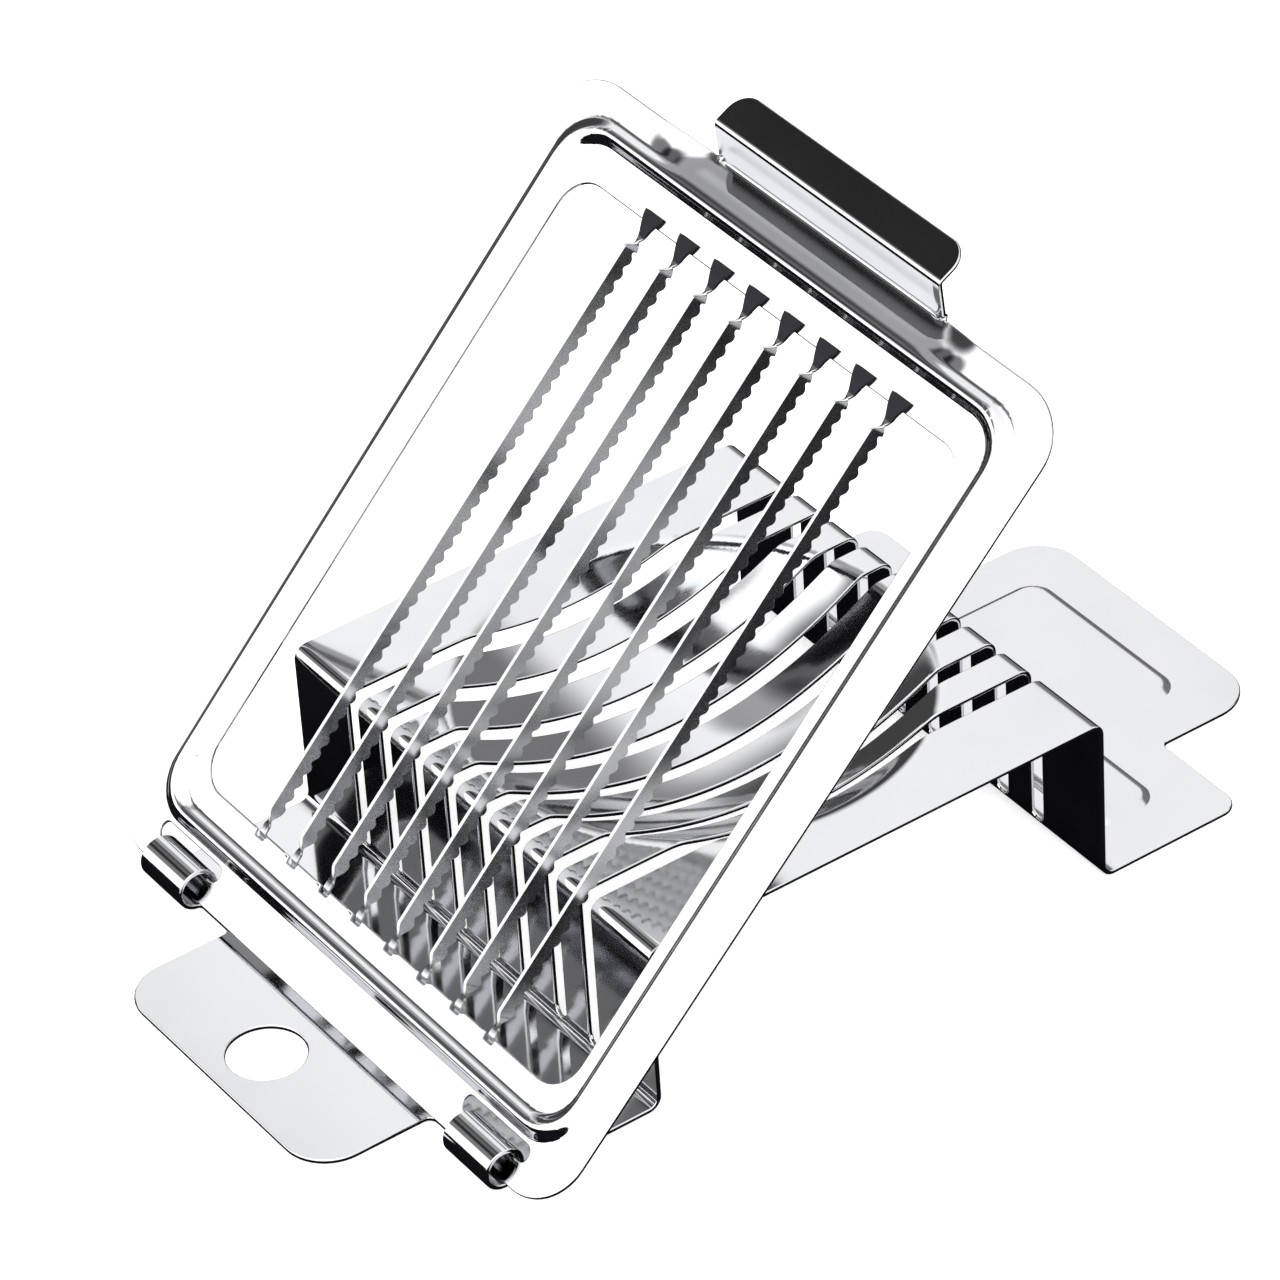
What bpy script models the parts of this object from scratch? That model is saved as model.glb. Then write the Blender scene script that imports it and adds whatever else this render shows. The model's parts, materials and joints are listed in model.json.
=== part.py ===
"""Egg slicer with a bent sheet base, a pressed blade frame and eight twisted, serrated blades.

The base and the frame are one stamped sheet each. Two ears on the base curl through two
obround holes in the frame's front bar, and that is the whole hinge: there is no pin.
Metres, +Z up, X across, Y from the hinge at the front to the foot at the back.
"""

import math

import bmesh
import bpy
import numpy as np

# Base: one bent sheet
BASE_SHEET = 0.0006
BASE_WIDTH = 0.0716
TABLE_HEIGHT = 0.0232
TABLE_LENGTH = 0.0647
FRONT_FLANGE = 0.0209
REAR_WING = 0.0203
FRONT_TAB = 0.0159
REAR_TAB = 0.0152
TAB_WIDTH = 0.0418
TAB_CORNER = 0.0058
TAB_FILLET = 0.0010
WING_CORNER = 0.0025
BEND_RADIUS = 0.0015
FINGER_HOLE_RADIUS = 0.00475
FINGER_HOLE_FROM_EDGE = 0.0073

# Egg seat pressed into the table
SEAT_LENGTH = 0.0560
SEAT_WIDTH = 0.0580
SEAT_DEPTH = 0.0085
SEAT_POWER = 1.1
SEAT_ROWS = 17

# Panel pressed up out of the rear foot
PANEL_INSET = 0.0068
PANEL_FROM_WALL = 0.0035
PANEL_RISE = 0.0006
PANEL_STEP = 0.0010

# Hinge ears and the holes that they pass through
EAR_WIDTH = 0.0085
CURL_RADIUS = 0.0024
CURL_END = math.radians(-18.0)
CURL_ROWS = 19
CURL_GAP = 0.0003
EDGE_GAP = 0.0009
HOLE_SLACK = 0.0012
HOLE_END_GAP = 0.0020

# Blades and their slots
BLADE_COUNT = 8
BLADE_PITCH = 0.0067
BLADE_HEIGHT = 0.0025
BLADE_THICKNESS = 0.00045
TOOTH_PITCH = 0.00195
TOOTH_DEPTH = 0.0006
TWIST_LENGTH = 0.0032
END_BEND = 0.0006
HOOK_BEND = 0.00035
TAIL_DROP = 0.0010
TONGUE_WIDTH = 0.0012
TONGUE_LENGTH = 0.0012
FAN_WIDTH = 0.0030
FAN_SHIFT = 0.0008
SLOT_CLEARANCE = 0.00088
SLOT_FLOOR_GAP = 0.00015
SLIT_GAP = 0.0003
SLIT_WEB = 0.0008

# Frame: one pressed sheet ring
FRAME_SHEET = 0.0005
SIDE_GAP = 0.0014
SIDE_BAR = 0.0081
SIDE_FLARE = 0.0014
REAR_BAR = 0.0109
TABLE_TO_OPENING = 0.0105
REAR_CLEARANCE = 0.0034
FRAME_CORNER = 0.0070
RIM_FLAT = 0.0030
OPENING_CORNER = 0.0045
BEAD_WIDTH = 0.0030
BEAD_RISE = 0.0010
BEAD_FROM_FRONT = 0.0056
BEAD_FROM_SIDE = 0.0034
BEAD_FROM_REAR = 0.0036
BEAD_CORNER = 0.0060
CORNER_TIGHTENS = 0.4

# Finger handle on the frame's rear bar
HANDLE_WIDTH = 0.0424
HANDLE_DIP = 0.0022
HANDLE_BLEND = 0.0093
HANDLE_RISE = 0.0039
HANDLE_LIP = 0.0048
HANDLE_LIP_DROP = 0.0014
HANDLE_CORNER = 0.0030
HANDLE_BEND = 0.0006

REST_ANGLE = math.radians(45.4)
PIECE_GAP = 0.0003
OVERCUT = 0.0010

# Places that follow from the sizes above. Y is counted from the hinge line.
HALF_WIDTH = BASE_WIDTH / 2
HALF_TAB = TAB_WIDTH / 2
HINGE_Z = BASE_SHEET / 2 + CURL_RADIUS
CURL_INNER = CURL_RADIUS - BASE_SHEET / 2
CURL_OUTER = CURL_RADIUS + BASE_SHEET / 2
REAR_WALL = FRONT_FLANGE + TABLE_LENGTH
WING_END = REAR_WALL + REAR_WING
REAR_END = WING_END + REAR_TAB
HINGE_Y = (FRONT_TAB - REAR_END) / 2
SEAT_CENTRE = FRONT_FLANGE + TABLE_LENGTH / 2

TABLE_REACH = math.hypot(REAR_WALL, TABLE_HEIGHT - HINGE_Z)
OPENING_FRONT = FRONT_FLANGE - TABLE_TO_OPENING
OPENING_REAR = TABLE_REACH + TWIST_LENGTH + REAR_CLEARANCE
OPENING_HALF = HALF_WIDTH + SIDE_GAP
FRAME_HALF = OPENING_HALF + SIDE_BAR
FRAME_FRONT = -math.sqrt((CURL_INNER - EDGE_GAP) ** 2 - (FRAME_SHEET / 2) ** 2)
FRAME_REAR = OPENING_REAR + REAR_BAR
HOLE_FRONT = math.sqrt((CURL_INNER - CURL_GAP) ** 2 - (FRAME_SHEET / 2) ** 2)
HOLE_REAR = CURL_OUTER + HOLE_SLACK

SLIT_WIDTH = BLADE_THICKNESS + 2 * SLIT_GAP
BLADE_TOP = FRAME_SHEET / 2 + PIECE_GAP + BLADE_THICKNESS / 2
HOOK_Y = OPENING_FRONT - BLADE_THICKNESS / 2
SLIT_REAR = OPENING_REAR + SLIT_WEB + SLIT_WIDTH / 2
BEAD_CREST = FRAME_REAR - BEAD_FROM_REAR - BEAD_WIDTH / 2


# Materials

def steel(name, colour, roughness):
    """A stainless steel finish."""
    material = bpy.data.materials.new(name)
    material.use_nodes = True
    shader = material.node_tree.nodes["Principled BSDF"]
    shader.inputs["Base Color"].default_value = (*colour, 1.0)
    shader.inputs["Metallic"].default_value = 1.0
    shader.inputs["Roughness"].default_value = roughness
    return material


# Curves and rows of points

def smooth(value):
    """Ease from 0 to 1 with level ends."""
    value = np.clip(value, 0.0, 1.0)
    return value * value * (3.0 - 2.0 * value)


def fillet(before, corner, after, radius, steps):
    """The points of an arc that rounds a corner of a flat path."""
    before, corner, after = (np.array(p, float) for p in (before, corner, after))
    a = (before - corner) / np.linalg.norm(before - corner)
    b = (after - corner) / np.linalg.norm(after - corner)
    half = math.acos(float(np.clip(a @ b, -1.0, 1.0))) / 2
    middle = (a + b) / np.linalg.norm(a + b)
    centre = corner + middle * radius / math.sin(half)
    start = corner + a * radius / math.tan(half) - centre
    turn = math.pi - 2 * half
    if a[0] * b[1] - a[1] * b[0] > 0:
        turn = -turn
    angles = np.linspace(0.0, turn, steps + 1)
    spin = [[start[0] * math.cos(t) - start[1] * math.sin(t),
             start[0] * math.sin(t) + start[1] * math.cos(t)] for t in angles]
    return [centre + np.array(p) for p in spin]


def rounded_path(corners, radius, steps=4):
    """A path through corners, each inner one rounded by an arc."""
    path = [np.array(corners[0], float)]
    for before, corner, after in zip(corners, corners[1:], corners[2:]):
        path.extend(fillet(before, corner, after, radius, steps))
    path.append(np.array(corners[-1], float))
    return path


def corner_inset(distance, radius):
    """How far a rounded corner pulls a side in, at a distance from the end of the piece."""
    short = np.clip(radius - distance, 0.0, radius)
    return radius - np.sqrt(radius * radius - short * short)


def mirrored(values):
    """Columns on both sides of the middle, in order."""
    values = sorted(values)
    return np.array([-v for v in reversed(values) if v > 0] + values)


# Mesh building

def grid_faces(rows, columns, closed=False):
    """Quads between the points of a grid, with its last column joined to its first if closed."""
    across = columns if closed else columns - 1
    r, c = np.meshgrid(np.arange(rows - 1), np.arange(across), indexing="ij")
    after = (c + 1) % columns
    quads = [r * columns + c, r * columns + after, (r + 1) * columns + after, (r + 1) * columns + c]
    return np.stack(quads, axis=-1).reshape(-1, 4)


class Sheet:
    """Patches of one surface, welded where they meet and then given a thickness."""

    def __init__(self):
        self.points = []
        self.faces = []

    def add(self, grid, closed=False):
        """Add a patch from a rows x columns x 3 array of points."""
        grid = np.asarray(grid, float)
        start = sum(len(p) for p in self.points)
        self.points.append(grid.reshape(-1, 3))
        self.faces.append(grid_faces(grid.shape[0], grid.shape[1], closed) + start)

    def make(self, name, thickness, collection, material):
        """Make the object, with a Solidify modifier centred on the surface."""
        mesh = bpy.data.meshes.new(name)
        faces = np.concatenate(self.faces).tolist()
        mesh.from_pydata(np.concatenate(self.points).tolist(), [], faces)
        shape = bmesh.new()
        shape.from_mesh(mesh)
        bmesh.ops.remove_doubles(shape, verts=shape.verts, dist=1e-6)
        bmesh.ops.recalc_face_normals(shape, faces=shape.faces)
        shape.to_mesh(mesh)
        shape.free()
        mesh.materials.append(material)
        mesh.shade_smooth()
        mesh.set_sharp_from_angle(angle=math.radians(30))
        item = bpy.data.objects.new(name, mesh)
        collection.objects.link(item)
        wall = item.modifiers.new("wall", "SOLIDIFY")
        wall.thickness = thickness
        wall.offset = 0.0
        wall.use_even_offset = True
        return item


def outline_solid(name, points, depth, collection):
    """A flat outline with a depth along Z, as a mesh whose caps are welded."""
    curve = bpy.data.curves.new(name, "CURVE")
    curve.dimensions = "2D"
    curve.fill_mode = "BOTH"
    curve.extrude = depth / 2
    spline = curve.splines.new("POLY")
    spline.points.add(len(points) - 1)
    for point, (x, y) in zip(spline.points, points):
        point.co = (x, y, 0.0, 1.0)
    spline.use_cyclic_u = True
    guide = bpy.data.objects.new(name + "_outline", curve)
    collection.objects.link(guide)
    bpy.context.view_layer.update()
    evaluated = guide.evaluated_get(bpy.context.evaluated_depsgraph_get())
    mesh = bpy.data.meshes.new_from_object(evaluated)
    bpy.data.objects.remove(guide)
    shape = bmesh.new()
    shape.from_mesh(mesh)
    bmesh.ops.remove_doubles(shape, verts=shape.verts, dist=1e-7)
    bmesh.ops.recalc_face_normals(shape, faces=shape.faces)
    shape.to_mesh(mesh)
    shape.free()
    item = bpy.data.objects.new(name, mesh)
    collection.objects.link(item)
    return item


def arc(cx, cy, radius, start, stop, steps):
    """Points on an arc, angles in radians."""
    return [(cx + radius * math.cos(t), cy + radius * math.sin(t))
            for t in np.linspace(start, stop, steps + 1)]


def obround(length, width, steps=8):
    """A slot outline along X with round ends, centred on the origin."""
    radius = width / 2
    reach = length / 2 - radius
    right = arc(reach, 0.0, radius, -math.pi / 2, math.pi / 2, steps)
    left = arc(-reach, 0.0, radius, math.pi / 2, 3 * math.pi / 2, steps)
    return right + left


def cut(item, cutter):
    """Subtract a cutter, which stays hidden in its own collection."""
    cutter.hide_render = True
    cutter.display_type = "WIRE"
    change = item.modifiers.new("cut_" + cutter.name, "BOOLEAN")
    change.operation = "DIFFERENCE"
    change.solver = "EXACT"
    change.object = cutter


def blade_places():
    """The X of each blade and of the slot that it drops into."""
    return [(i - (BLADE_COUNT - 1) / 2) * BLADE_PITCH for i in range(BLADE_COUNT)]


# Base

def base_columns():
    """X lines of the base sheet: seat, panel edges, tab fillet and ear edge."""
    panel = HALF_TAB - PANEL_INSET
    wing = HALF_WIDTH - PANEL_INSET
    seat = [HALF_TAB * k / 5 for k in range(3)]
    edges = [panel - PANEL_STEP, panel, HALF_TAB - TAB_CORNER / 2, HALF_TAB + TAB_FILLET,
             wing - PANEL_STEP, wing, HALF_WIDTH - EAR_WIDTH, HALF_WIDTH]
    return mirrored(seat + edges)


def squeezed(columns, inner, outer, limit):
    """Move the columns beyond inner so that the outermost, at outer, lies at limit."""
    size = np.abs(columns)
    moved = inner + (size - inner) * (limit - inner) / (outer - inner)
    return np.sign(columns) * np.where(size > inner, moved, size)


def seat_drop(x, y):
    """Depth of the oval egg seat below the table."""
    ring = (x / (SEAT_WIDTH / 2)) ** 2 + ((y - SEAT_CENTRE) / (SEAT_LENGTH / 2)) ** 2
    return SEAT_DEPTH * np.clip(1.0 - ring, 0.0, 1.0) ** SEAT_POWER


def panel_lift(x, y):
    """Rise of the T-shaped panel in the rear foot."""
    tiny = 1e-6
    stem = HALF_TAB - PANEL_INSET - PANEL_STEP
    head = HALF_WIDTH - PANEL_INSET - PANEL_STEP
    start = REAR_WALL + PANEL_FROM_WALL + PANEL_STEP
    head_end = WING_END - PANEL_INSET - PANEL_STEP
    stem_end = REAR_END - PANEL_INSET - PANEL_STEP
    in_head = (np.abs(x) < head + tiny) & (y > start - tiny) & (y < head_end + tiny)
    in_stem = (np.abs(x) < stem + tiny) & (y > start - tiny) & (y < stem_end + tiny)
    return PANEL_RISE * (in_head | in_stem)


def base_hat(columns):
    """Flange, front wall, table, rear wall and rear wings as one patch."""
    low = BASE_SHEET / 2
    high = TABLE_HEIGHT - BASE_SHEET / 2
    front = FRONT_FLANGE + BASE_SHEET / 2
    back = REAR_WALL - BASE_SHEET / 2
    start = REAR_WALL + PANEL_FROM_WALL
    end = WING_END - PANEL_INSET
    corner_rows = WING_END - WING_CORNER * (1 - np.sin(np.radians([0.0, 40.0, 70.0])))
    table = np.linspace(front + BEND_RADIUS, back - BEND_RADIUS, SEAT_ROWS)[1:-1]
    foot = (start, start + PANEL_STEP, end - PANEL_STEP, end, *corner_rows, WING_END)
    rise = rounded_path([(0.0, low), (front, low), (front, high), (table[0], high)], BEND_RADIUS)
    fall = rounded_path([(table[-1], high), (back, high), (back, low), (foot[0], low)], BEND_RADIUS)
    rows = rise + [(y, high) for y in table[1:-1]] + fall + [(y, low) for y in foot[1:]]
    grid = np.zeros((len(rows), len(columns), 3))
    wing = HALF_WIDTH - PANEL_INSET
    for index, (y, z) in enumerate(rows):
        inset = corner_inset(WING_END - y, WING_CORNER) if y > REAR_WALL else 0.0
        x = squeezed(columns, wing, HALF_WIDTH, HALF_WIDTH - inset)
        grid[index, :, 0] = x
        grid[index, :, 1] = y
        grid[index, :, 2] = z
        if z > high - 1e-7:
            grid[index, :, 2] -= seat_drop(x, y)
        if y > REAR_WALL:
            grid[index, :, 2] += panel_lift(x, y)
    return grid


def base_tab(columns, root, direction, length, panel):
    """A tab on the front or rear foot, with rounded outer corners and filleted roots."""
    edge = HALF_TAB + TAB_FILLET
    columns = columns[np.abs(columns) < edge + 1e-6]
    inner = HALF_TAB - PANEL_INSET
    angles = np.radians([0.0, 30.0, 60.0])
    near = list(TAB_FILLET * (1 - np.cos(angles))) + [TAB_FILLET]
    far = list(length - TAB_CORNER * (1 - np.sin(np.radians([0.0, 25.0, 50.0, 70.0])))) + [length]
    steps = [length - PANEL_INSET - PANEL_STEP, length - PANEL_INSET] if panel else []
    distances = np.array(sorted(set(near + far + steps)))
    grid = np.zeros((len(distances), len(columns), 3))
    for index, distance in enumerate(distances):
        widen = corner_inset(distance, TAB_FILLET)
        inset = corner_inset(length - distance, TAB_CORNER)
        limit = HALF_TAB + widen - inset
        x = squeezed(columns, inner, edge, limit)
        grid[index, :, 0] = x
        grid[index, :, 1] = root + direction * distance
        grid[index, :, 2] = BASE_SHEET / 2
        if panel:
            grid[index, :, 2] += panel_lift(x, grid[index, :, 1])
    return grid


def base_ear(side):
    """A hinge ear: the flange's front edge curled forwards, up, over and down through the frame."""
    angles = np.linspace(math.radians(270.0), CURL_END, CURL_ROWS)
    panel = HALF_WIDTH - PANEL_INSET
    across = sorted(side * x for x in (HALF_WIDTH - EAR_WIDTH, panel - PANEL_STEP, panel, HALF_WIDTH)
                    if x > HALF_WIDTH - EAR_WIDTH - PANEL_STEP / 2)
    grid = [[(x, CURL_RADIUS * math.cos(t), HINGE_Z + CURL_RADIUS * math.sin(t)) for x in across]
            for t in angles]
    return np.array(grid)


def slot_cutter(name, x, collection):
    """A prism along Y, round at the bottom, that slots the table and both walls."""
    radius = BLADE_THICKNESS / 2 + SLOT_CLEARANCE
    floor = HINGE_Z - BLADE_HEIGHT / 2 - SLOT_FLOOR_GAP
    top = TABLE_HEIGHT + OVERCUT
    bottom = arc(0.0, floor + radius, radius, math.pi, 2 * math.pi, 8)
    points = [(radius, top), (-radius, top)] + bottom
    length = TABLE_LENGTH + 2 * OVERCUT
    cutter = outline_solid(name, points, length, collection)
    cutter.rotation_euler = (math.pi / 2, 0.0, 0.0)
    cutter.location = (x, HINGE_Y + SEAT_CENTRE, 0.0)
    return cutter


def make_base(parts, cutters):
    """The base: tabs, flanges, slotted table with its egg seat, and two curled ears."""
    columns = base_columns()
    sheet = Sheet()
    sheet.add(base_hat(columns))
    sheet.add(base_tab(columns, 0.0, -1.0, FRONT_TAB, False))
    sheet.add(base_tab(columns, WING_END, 1.0, REAR_TAB, True))
    sheet.add(base_ear(-1.0))
    sheet.add(base_ear(1.0))
    base = sheet.make("base", BASE_SHEET, parts, steel("polished_stainless", (0.78, 0.78, 0.79), 0.08))
    base.location = (0.0, HINGE_Y, 0.0)
    for index, x in enumerate(blade_places()):
        cut(base, slot_cutter(f"slot_{index + 1}", x, cutters))
    hole = outline_solid("finger_hole", arc(0, 0, FINGER_HOLE_RADIUS, 0, 2 * math.pi, 32)[:-1],
                         BASE_SHEET + 2 * OVERCUT, cutters)
    hole.location = (0.0, HINGE_Y - FRONT_TAB + FINGER_HOLE_FROM_EDGE, BASE_SHEET / 2)
    cut(base, hole)
    return base


# Frame, in its own flat coordinates: X across, Y from the hinge to the handle, Z out of the top face

def ring_outline(half, front, rear, radius, rear_columns, steps=6):
    """A rounded rectangle as a closed row of points, with set columns on its rear side."""
    quarter = math.pi / 2
    left = arc(-half + radius, front + radius, radius, math.pi, math.pi + quarter, steps)
    right = arc(half - radius, front + radius, radius, -quarter, 0.0, steps)
    far_right = arc(half - radius, rear - radius, radius, 0.0, quarter, steps)
    far_left = arc(-half + radius, rear - radius, radius, quarter, math.pi, steps)
    back = [(x, rear) for x in reversed(rear_columns)]
    return np.array(left + right + far_right + back + far_left)


def handle_columns():
    """X lines of the rear bar: the handle's width and the blend beside it."""
    half = HANDLE_WIDTH / 2
    blend = [half + HANDLE_BLEND * k / 4 for k in range(5)]
    return mirrored([0.0, half / 2, half - HANDLE_CORNER] + blend)


def ring_height(x, y, rise):
    """Height of the ring: the bead, and behind its crest a ramp down to the handle's foot."""
    share = np.clip((y - BEAD_CREST) / (FRAME_REAR - BEAD_CREST), 0.0, 1.0)
    ramp = BEAD_RISE - (BEAD_RISE + HANDLE_DIP) * (share + smooth(share)) / 2
    beside = smooth((HANDLE_WIDTH / 2 + HANDLE_BLEND - np.abs(x)) / HANDLE_BLEND)
    weight = np.where(share > 0.0, beside, 0.0)
    return rise * (1.0 - weight) + ramp * weight


def side_flare(x, y):
    """How far the side bars widen outwards towards the rear."""
    across = np.clip((np.abs(x) - OPENING_HALF) / SIDE_BAR, 0.0, 1.0)
    along = (y - FRAME_FRONT) / (FRAME_REAR - FRAME_FRONT)
    return np.sign(x) * SIDE_FLARE * across * along


def frame_rings():
    """The frame's surface from its outer edge, over the bead, to the opening."""
    columns = handle_columns()
    outline = []
    for offset in np.linspace(0.0, RIM_FLAT, 5):
        outline.append((FRAME_HALF - offset, FRAME_FRONT + offset, FRAME_REAR - offset,
                        FRAME_CORNER - offset * CORNER_TIGHTENS, 0.0))
    for step in np.linspace(0.0, 1.0, 7):
        rise = BEAD_RISE * math.sin(math.pi * step) ** 2
        offset = BEAD_WIDTH * step
        outline.append((FRAME_HALF - BEAD_FROM_SIDE - offset, FRAME_FRONT + BEAD_FROM_FRONT + offset,
                        FRAME_REAR - BEAD_FROM_REAR - offset, BEAD_CORNER - offset * CORNER_TIGHTENS, rise))
    outline.append((OPENING_HALF, OPENING_FRONT, OPENING_REAR, OPENING_CORNER, 0.0))
    grid = []
    for half, front, rear, radius, rise in outline:
        points = ring_outline(half, front, rear, radius, columns)
        points[:, 0] += side_flare(points[:, 0], points[:, 1])
        height = ring_height(points[:, 0], points[:, 1], rise)
        grid.append(np.column_stack([points, height]))
    return np.array(grid)


def frame_handle():
    """Riser and lip, springing from the pressed rear edge."""
    half = HANDLE_WIDTH / 2
    columns = handle_columns()
    columns = columns[np.abs(columns) < half + 1e-6]
    top = HANDLE_RISE - HANDLE_DIP
    knee = FRAME_REAR + HANDLE_RISE - HANDLE_BEND
    end = knee + HANDLE_LIP
    corners = [(FRAME_REAR, -HANDLE_DIP), (knee, top), (end, top - HANDLE_LIP_DROP)]
    path = rounded_path(corners, HANDLE_BEND, steps=5)
    fade = [1 - math.sin(math.radians(a)) for a in (0.0, 30.0, 55.0, 75.0)]
    lip = np.array(corners[2]) - np.array(corners[1])
    lip /= np.linalg.norm(lip)
    path = path[:-1] + [path[-1] - lip * HANDLE_CORNER * f for f in fade] + [path[-1]]
    grid = np.zeros((len(path), len(columns), 3))
    for index, (y, z) in enumerate(path):
        distance = float(np.linalg.norm(path[-1] - np.array([y, z])))
        limit = half - corner_inset(distance, HANDLE_CORNER)
        grid[index, :, 0] = squeezed(columns, half / 2, half, limit)
        grid[index, :, 1] = y
        grid[index, :, 2] = z
    return grid


def notch_outline():
    """A square notch in the opening's front edge, round a blade's hook."""
    half = TONGUE_WIDTH / 2 + SLIT_GAP
    near = HOOK_Y - BLADE_THICKNESS / 2 - SLIT_GAP
    far = OPENING_FRONT + OVERCUT
    return [(-half, near), (half, near), (half, far), (-half, far)]


def make_frame(parts, cutters, hinge):
    """The frame: pressed ring, handle, hinge holes, and a slit and a notch for each blade."""
    sheet = Sheet()
    sheet.add(frame_rings(), closed=True)
    sheet.add(frame_handle())
    frame = sheet.make("frame", FRAME_SHEET, parts, steel("frame_stainless", (0.80, 0.80, 0.81), 0.07))
    frame.parent = hinge
    deep = 4 * HANDLE_DIP
    hole_length = EAR_WIDTH + 2 * HOLE_END_GAP
    for side, label in ((-1.0, "left"), (1.0, "right")):
        outline = obround(hole_length, HOLE_REAR - HOLE_FRONT)
        hole = outline_solid("hinge_hole_" + label, outline, deep, cutters)
        hole.location = (side * (HALF_WIDTH - EAR_WIDTH / 2), (HOLE_FRONT + HOLE_REAR) / 2, 0.0)
        hole.parent = hinge
        cut(frame, hole)
    for index, x in enumerate(blade_places()):
        slit = outline_solid(f"slit_{index + 1}", obround(FAN_WIDTH + 2 * SLIT_GAP, SLIT_WIDTH, steps=3),
                             deep, cutters)
        slit.location = (x + FAN_SHIFT, SLIT_REAR, 0.0)
        slit.parent = hinge
        cut(frame, slit)
        notch = outline_solid(f"notch_{index + 1}", notch_outline(), deep, cutters)
        notch.location = (x, 0.0, 0.0)
        notch.parent = hinge
        cut(frame, notch)
    return frame


# Blades

def blade_rows():
    """Rows along a blade: Y, Z and X of its centre line, its turn, half width and tooth depth."""
    half = BLADE_HEIGHT / 2
    tongue = TONGUE_WIDTH / 2
    fan = FAN_WIDTH / 2
    front_start = OPENING_FRONT + TWIST_LENGTH
    rear_start = OPENING_REAR - TWIST_LENGTH
    hook = rounded_path([(HOOK_Y - TONGUE_LENGTH, -BLADE_TOP), (HOOK_Y, -BLADE_TOP), (HOOK_Y, 0.0),
                         (OPENING_FRONT + HOOK_BEND, 0.0)], HOOK_BEND, steps=3)
    tail = rounded_path([(OPENING_REAR, BLADE_TOP), (SLIT_REAR, BLADE_TOP),
                         (SLIT_REAR, -FRAME_SHEET / 2 - TAIL_DROP)], END_BEND, steps=3)
    twist = np.linspace(0.0, 1.0, 9)[1:-1]
    front_twist = TWIST_LENGTH - HOOK_BEND
    count = int((rear_start - front_start) / TOOTH_PITCH)
    rows = [(y, z, 0.0, 1.0, tongue, 0.0) for y, z in hook]
    rows += [(front_start - front_twist * t, 0.0, 0.0, smooth(t), half + (tongue - half) * smooth(t), 0.0)
             for t in reversed(twist)]
    rows += [(y, 0.0, 0.0, 0.0, half, float(i % 2))
             for i, y in enumerate(np.linspace(front_start, rear_start, 2 * count + 1))]
    rows += [(rear_start + TWIST_LENGTH * t, BLADE_TOP * smooth(t), FAN_SHIFT * smooth(t), smooth(t),
              half + (fan - half) * smooth(t), 0.0) for t in twist]
    rows += [(y, z, FAN_SHIFT, 1.0, fan, 0.0) for y, z in tail]
    return rows


def make_blade(name, x, parts, hinge, material):
    """A strip on edge, toothed below, with a hook in front and a fan through its slit behind."""
    grid = []
    for y, z, aside, turn, half, tooth in blade_rows():
        across = math.sin(turn * math.pi / 2)
        up = math.cos(turn * math.pi / 2)
        low = -half + TOOTH_DEPTH * tooth
        grid.append([(aside + low * across, y, z + low * up), (aside + half * across, y, z + half * up)])
    sheet = Sheet()
    sheet.add(np.array(grid))
    blade = sheet.make(name, BLADE_THICKNESS, parts, material)
    blade.location = (x, 0.0, 0.0)
    blade.parent = hinge
    return blade


def main():
    """Clear the file and build every piece."""
    for item in list(bpy.data.objects):
        bpy.data.objects.remove(item, do_unlink=True)
    parts = bpy.data.collections.new("egg_slicer")
    cutters = bpy.data.collections.new("cutters")
    for collection in (parts, cutters):
        bpy.context.scene.collection.children.link(collection)
    hinge = bpy.data.objects.new("frame_hinge", None)
    hinge.location = (0.0, HINGE_Y, HINGE_Z)
    hinge.rotation_euler = (REST_ANGLE, 0.0, 0.0)
    parts.objects.link(hinge)
    make_base(parts, cutters)
    make_frame(parts, cutters, hinge)
    blade_steel = steel("satin_blade_stainless", (0.55, 0.55, 0.56), 0.3)
    for index, x in enumerate(blade_places()):
        make_blade(f"blade_{index + 1}", x, parts, hinge, blade_steel)


main()
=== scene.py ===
"""Egg slicer in polished and satin stainless steel.

A bent sheet base with an egg seat, a pressed blade frame that swings on two curled ears, and
eight toothed strips. Metres, +Z up, X across, Y from the front tab to the rear foot.
"""

import json
import logging
import math
from dataclasses import dataclass, field
from enum import Enum
from typing import Any, Sequence

import bpy
import numpy as np
from mathutils import Matrix, Vector
from mathutils.geometry import delaunay_2d_cdt


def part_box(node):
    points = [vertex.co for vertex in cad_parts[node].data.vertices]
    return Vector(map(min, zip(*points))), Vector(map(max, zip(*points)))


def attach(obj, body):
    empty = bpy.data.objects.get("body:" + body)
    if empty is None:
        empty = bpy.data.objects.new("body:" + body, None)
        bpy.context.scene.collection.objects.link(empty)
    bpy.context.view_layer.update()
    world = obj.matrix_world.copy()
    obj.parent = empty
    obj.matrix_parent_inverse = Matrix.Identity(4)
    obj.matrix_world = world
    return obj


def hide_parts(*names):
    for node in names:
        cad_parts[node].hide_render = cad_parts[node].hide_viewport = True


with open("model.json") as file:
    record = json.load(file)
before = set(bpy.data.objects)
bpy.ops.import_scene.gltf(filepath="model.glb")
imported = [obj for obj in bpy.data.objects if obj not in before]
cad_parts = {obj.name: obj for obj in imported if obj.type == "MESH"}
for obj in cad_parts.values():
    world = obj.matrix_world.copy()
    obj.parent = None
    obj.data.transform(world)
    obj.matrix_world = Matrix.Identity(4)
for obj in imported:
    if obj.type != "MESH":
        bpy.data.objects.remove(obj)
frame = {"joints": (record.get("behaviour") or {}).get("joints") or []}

LOG = logging.getLogger("egg_slicer")
MM = 0.001
TINY = 1e-9
Array = np.ndarray


class Side(Enum):
    """The two sides of the slicer, as a sign of X."""

    LEFT = -1.0
    RIGHT = 1.0


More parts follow.
